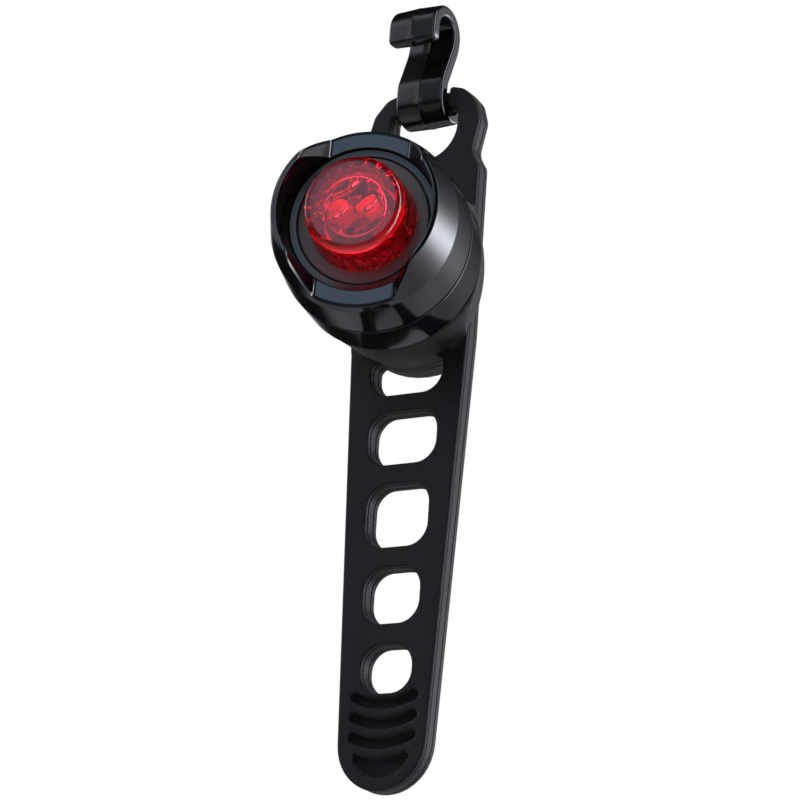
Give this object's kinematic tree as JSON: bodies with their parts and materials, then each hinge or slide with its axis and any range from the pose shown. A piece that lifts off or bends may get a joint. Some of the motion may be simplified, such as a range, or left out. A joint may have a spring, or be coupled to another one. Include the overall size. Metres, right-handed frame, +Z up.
{
  "type": "bicycle rear light",
  "caption": "Round bicycle rear light with a red push lens between raised housing ears, on a leaning rubber seat and a perforated strap whose swinging plastic hook ties it to a post.",
  "frame": {"origin": "on the axis of the post that the lamp is strapped to, level with the lamp's axis", "axes": "+Z up the strap towards the hook, -Y from the post towards the lamp, +X along the post"},
  "size_m": [0.0379, 0.0481, 0.1432],
  "materials": {
    "strap_rubber": "matte",
    "hook_plastic": "gloss",
    "black_alloy": "gloss black anodised",
    "bezel_alloy": "satin black anodised",
    "button_plastic": "gloss",
    "lens_red": "clear red gloss",
    "seal_rubber": "matte",
    "bright_trim": "bright",
    "steel": "satin",
    "led_epoxy": "gloss",
    "board_green": "satin",
    "chip_black": "matte",
    "holder_plastic": "satin",
    "contact_brass": "satin"
  },
  "bodies": {
    "strap_body": {"strap": "strap_rubber", "post_pad": "strap_rubber", "strap_retainer": "steel", "strap_screw": "steel", "base": "black_alloy", "base_seal": "seal_rubber"},
    "head_body": {"housing": "black_alloy", "bezel_ring": "bezel_alloy", "button_seal": "seal_rubber", "wave_spring": "steel", "reflector": "bright_trim", "leds": "led_epoxy", "circuit_board": "board_green", "controller_chip": "chip_black", "resistors": "chip_black", "switch_body": "chip_black", "cell_holder": "holder_plastic", "holder_screws": "steel", "front_cell": "steel", "rear_cell": "steel", "negative_contact": "contact_brass", "positive_contact": "contact_brass"},
    "button_body": {"button_ring": "button_plastic", "lens": "lens_red"},
    "plunger_body": {"switch_plunger": "holder_plastic"},
    "hook_body": {"hook": "hook_plastic"}
  },
  "joints": [
    {"name": "head_twist", "type": "hinge", "parent": "strap_body", "child": "head_body", "pos_m": [0.00301, -0.03654, 0], "axis": [0.3007, -0.9537, 0], "range_deg": [0, 45]},
    {"name": "lens_press", "type": "slide", "parent": "head_body", "child": "button_body", "axis": [-0.3007, 0.9537, 0], "range_m": [0, 0.0007], "stiffness_N_per_m": 4000, "springref_m": -0.0005, "deforming": ["wave_spring"]},
    {"name": "plunger_press", "type": "slide", "parent": "head_body", "child": "plunger_body", "axis": [-0.3007, 0.9537, 0], "range_m": [0, 0.0007]},
    {"name": "hook_swing", "type": "hinge", "parent": "strap_body", "child": "hook_body", "pos_m": [0, -0.0164, 0.0336], "axis": [1, 0, 0], "range_deg": [-100, 95]}
  ],
  "couplings": [
    {"joint": "plunger_press", "follows": "lens_press", "ratio": 1}
  ]
}
